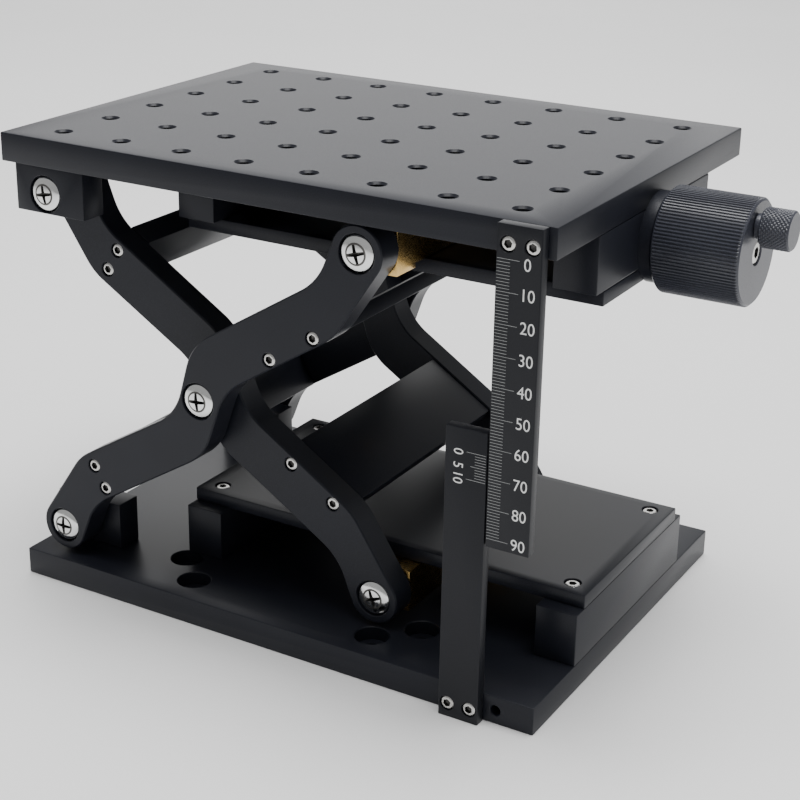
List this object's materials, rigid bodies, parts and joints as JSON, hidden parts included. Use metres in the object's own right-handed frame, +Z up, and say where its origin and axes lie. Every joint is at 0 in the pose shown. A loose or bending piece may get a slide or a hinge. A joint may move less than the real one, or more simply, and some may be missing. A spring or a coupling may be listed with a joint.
{
  "type": "scissor lab jack",
  "caption": "Lab jack with a drilled table on two crossed pairs of arms, raised by a lead screw with a knurled knob, with a scale and vernier.",
  "frame": {"origin": "centre of the base plate's underside", "axes": "+X along the long side towards the knob, +Y towards the side without the scale, +Z up"},
  "size_m": [0.256, 0.1543, 0.168],
  "materials": {
    "black_anodised": "fine matte black anodised aluminium",
    "engraved_aluminium": "matte black anodised aluminium with white-filled engraving",
    "knurled_aluminium": "black anodised aluminium, knurled",
    "brass": "machined brass",
    "zinc_steel": "bright zinc-plated steel",
    "screw_steel": "stainless steel",
    "bright_steel": "ground steel"
  },
  "bodies": {
    "base": {"base_plate": "black_anodised", "base_guide_block_left": "black_anodised", "base_guide_block_right": "black_anodised", "base_guide_cover": "black_anodised", "base_guide_rod": "bright_steel", "base_pivot_lug_front": "black_anodised", "base_pivot_lug_rear": "black_anodised", "base_cover_screw_1": "screw_steel", "base_cover_screw_2": "screw_steel", "base_cover_screw_3": "screw_steel", "base_cover_screw_4": "screw_steel", "vernier_post": "engraved_aluminium", "vernier_post_screw_1": "screw_steel", "vernier_post_screw_2": "screw_steel", "base_pivot_screw_front": "zinc_steel", "base_pivot_screw_rear": "zinc_steel"},
    "outer_arms": {"outer_arm_front": "black_anodised", "outer_arm_rear": "black_anodised", "outer_tie_bar": "black_anodised", "outer_tie_plate": "black_anodised", "outer_tie_screw_1": "screw_steel", "outer_tie_screw_2": "screw_steel", "outer_tie_screw_3": "screw_steel", "outer_tie_screw_4": "screw_steel"},
    "inner_arms": {"inner_arm_front": "black_anodised", "inner_arm_rear": "black_anodised", "inner_tie_bar": "black_anodised", "inner_tie_plate": "black_anodised", "inner_tie_screw_1": "screw_steel", "inner_tie_screw_2": "screw_steel", "inner_tie_screw_3": "screw_steel", "inner_tie_screw_4": "screw_steel", "centre_pivot_screw_front": "zinc_steel", "centre_pivot_screw_rear": "zinc_steel"},
    "table": {"top_plate": "black_anodised", "top_guide_block_left": "black_anodised", "top_guide_block_right": "black_anodised", "top_guide_cover": "black_anodised", "top_pivot_ear_front": "black_anodised", "top_pivot_ear_rear": "black_anodised", "lead_screw_bush": "brass", "lead_screw_bearing": "bright_steel", "bearing_cap": "black_anodised", "ruler": "engraved_aluminium", "ruler_screw_1": "screw_steel", "ruler_screw_2": "screw_steel", "table_pivot_screw_front": "zinc_steel", "table_pivot_screw_rear": "zinc_steel"},
    "nut": {"nut_bar": "brass", "nut_pivot_screw_front": "zinc_steel", "nut_pivot_screw_rear": "zinc_steel"},
    "slider": {"lower_slider": "brass", "slider_pivot_screw_front": "zinc_steel", "slider_pivot_screw_rear": "zinc_steel"},
    "drive": {"lead_screw": "bright_steel", "knob": "knurled_aluminium", "knob_screw": "screw_steel", "crank_pin": "bright_steel"},
    "crank": {"crank_grip": "knurled_aluminium"}
  },
  "joints": [
    {"name": "scissor_lift", "type": "hinge", "parent": "base", "child": "outer_arms", "pos_m": [-0.091, 0, 0.021], "axis": [0, -1, 0], "range_deg": [-24.3, 14.2]},
    {"name": "arm_cross", "type": "hinge", "parent": "outer_arms", "child": "inner_arms", "pos_m": [-0.02814, 0, 0.084], "axis": [0, -1, 0], "range_deg": [-28.5, 48.7]},
    {"name": "table_level", "type": "hinge", "parent": "inner_arms", "child": "table", "pos_m": [-0.091, 0, 0.147], "axis": [0, -1, 0], "range_deg": [-24.4, 14.3]},
    {"name": "nut_level", "type": "hinge", "parent": "outer_arms", "child": "nut", "pos_m": [0.03473, 0, 0.147], "axis": [0, -1, 0], "range_deg": [-14.3, 24.4]},
    {"name": "slider_level", "type": "hinge", "parent": "inner_arms", "child": "slider", "pos_m": [0.03473, 0, 0.021], "axis": [0, -1, 0], "range_deg": [-24.4, 14.3]},
    {"name": "lead_screw_turn", "type": "hinge", "parent": "table", "child": "drive", "pos_m": [0.105, 0, 0.147], "axis": [1, 0, 0], "range_deg": [-4282, 2504]},
    {"name": "crank_spin", "type": "hinge", "parent": "drive", "child": "crank", "pos_m": [0.146, -0.0026, 0.15645], "axis": [1, 0, 0], "continuous": true}
  ],
  "couplings": [
    {"joint": "arm_cross", "follows": "scissor_lift", "ratio": -2},
    {"joint": "table_level", "follows": "scissor_lift", "ratio": 1},
    {"joint": "nut_level", "follows": "scissor_lift", "ratio": -1},
    {"joint": "slider_level", "follows": "scissor_lift", "ratio": 1},
    {"joint": "lead_screw_turn", "follows": "scissor_lift", "ratio": 176}
  ]
}
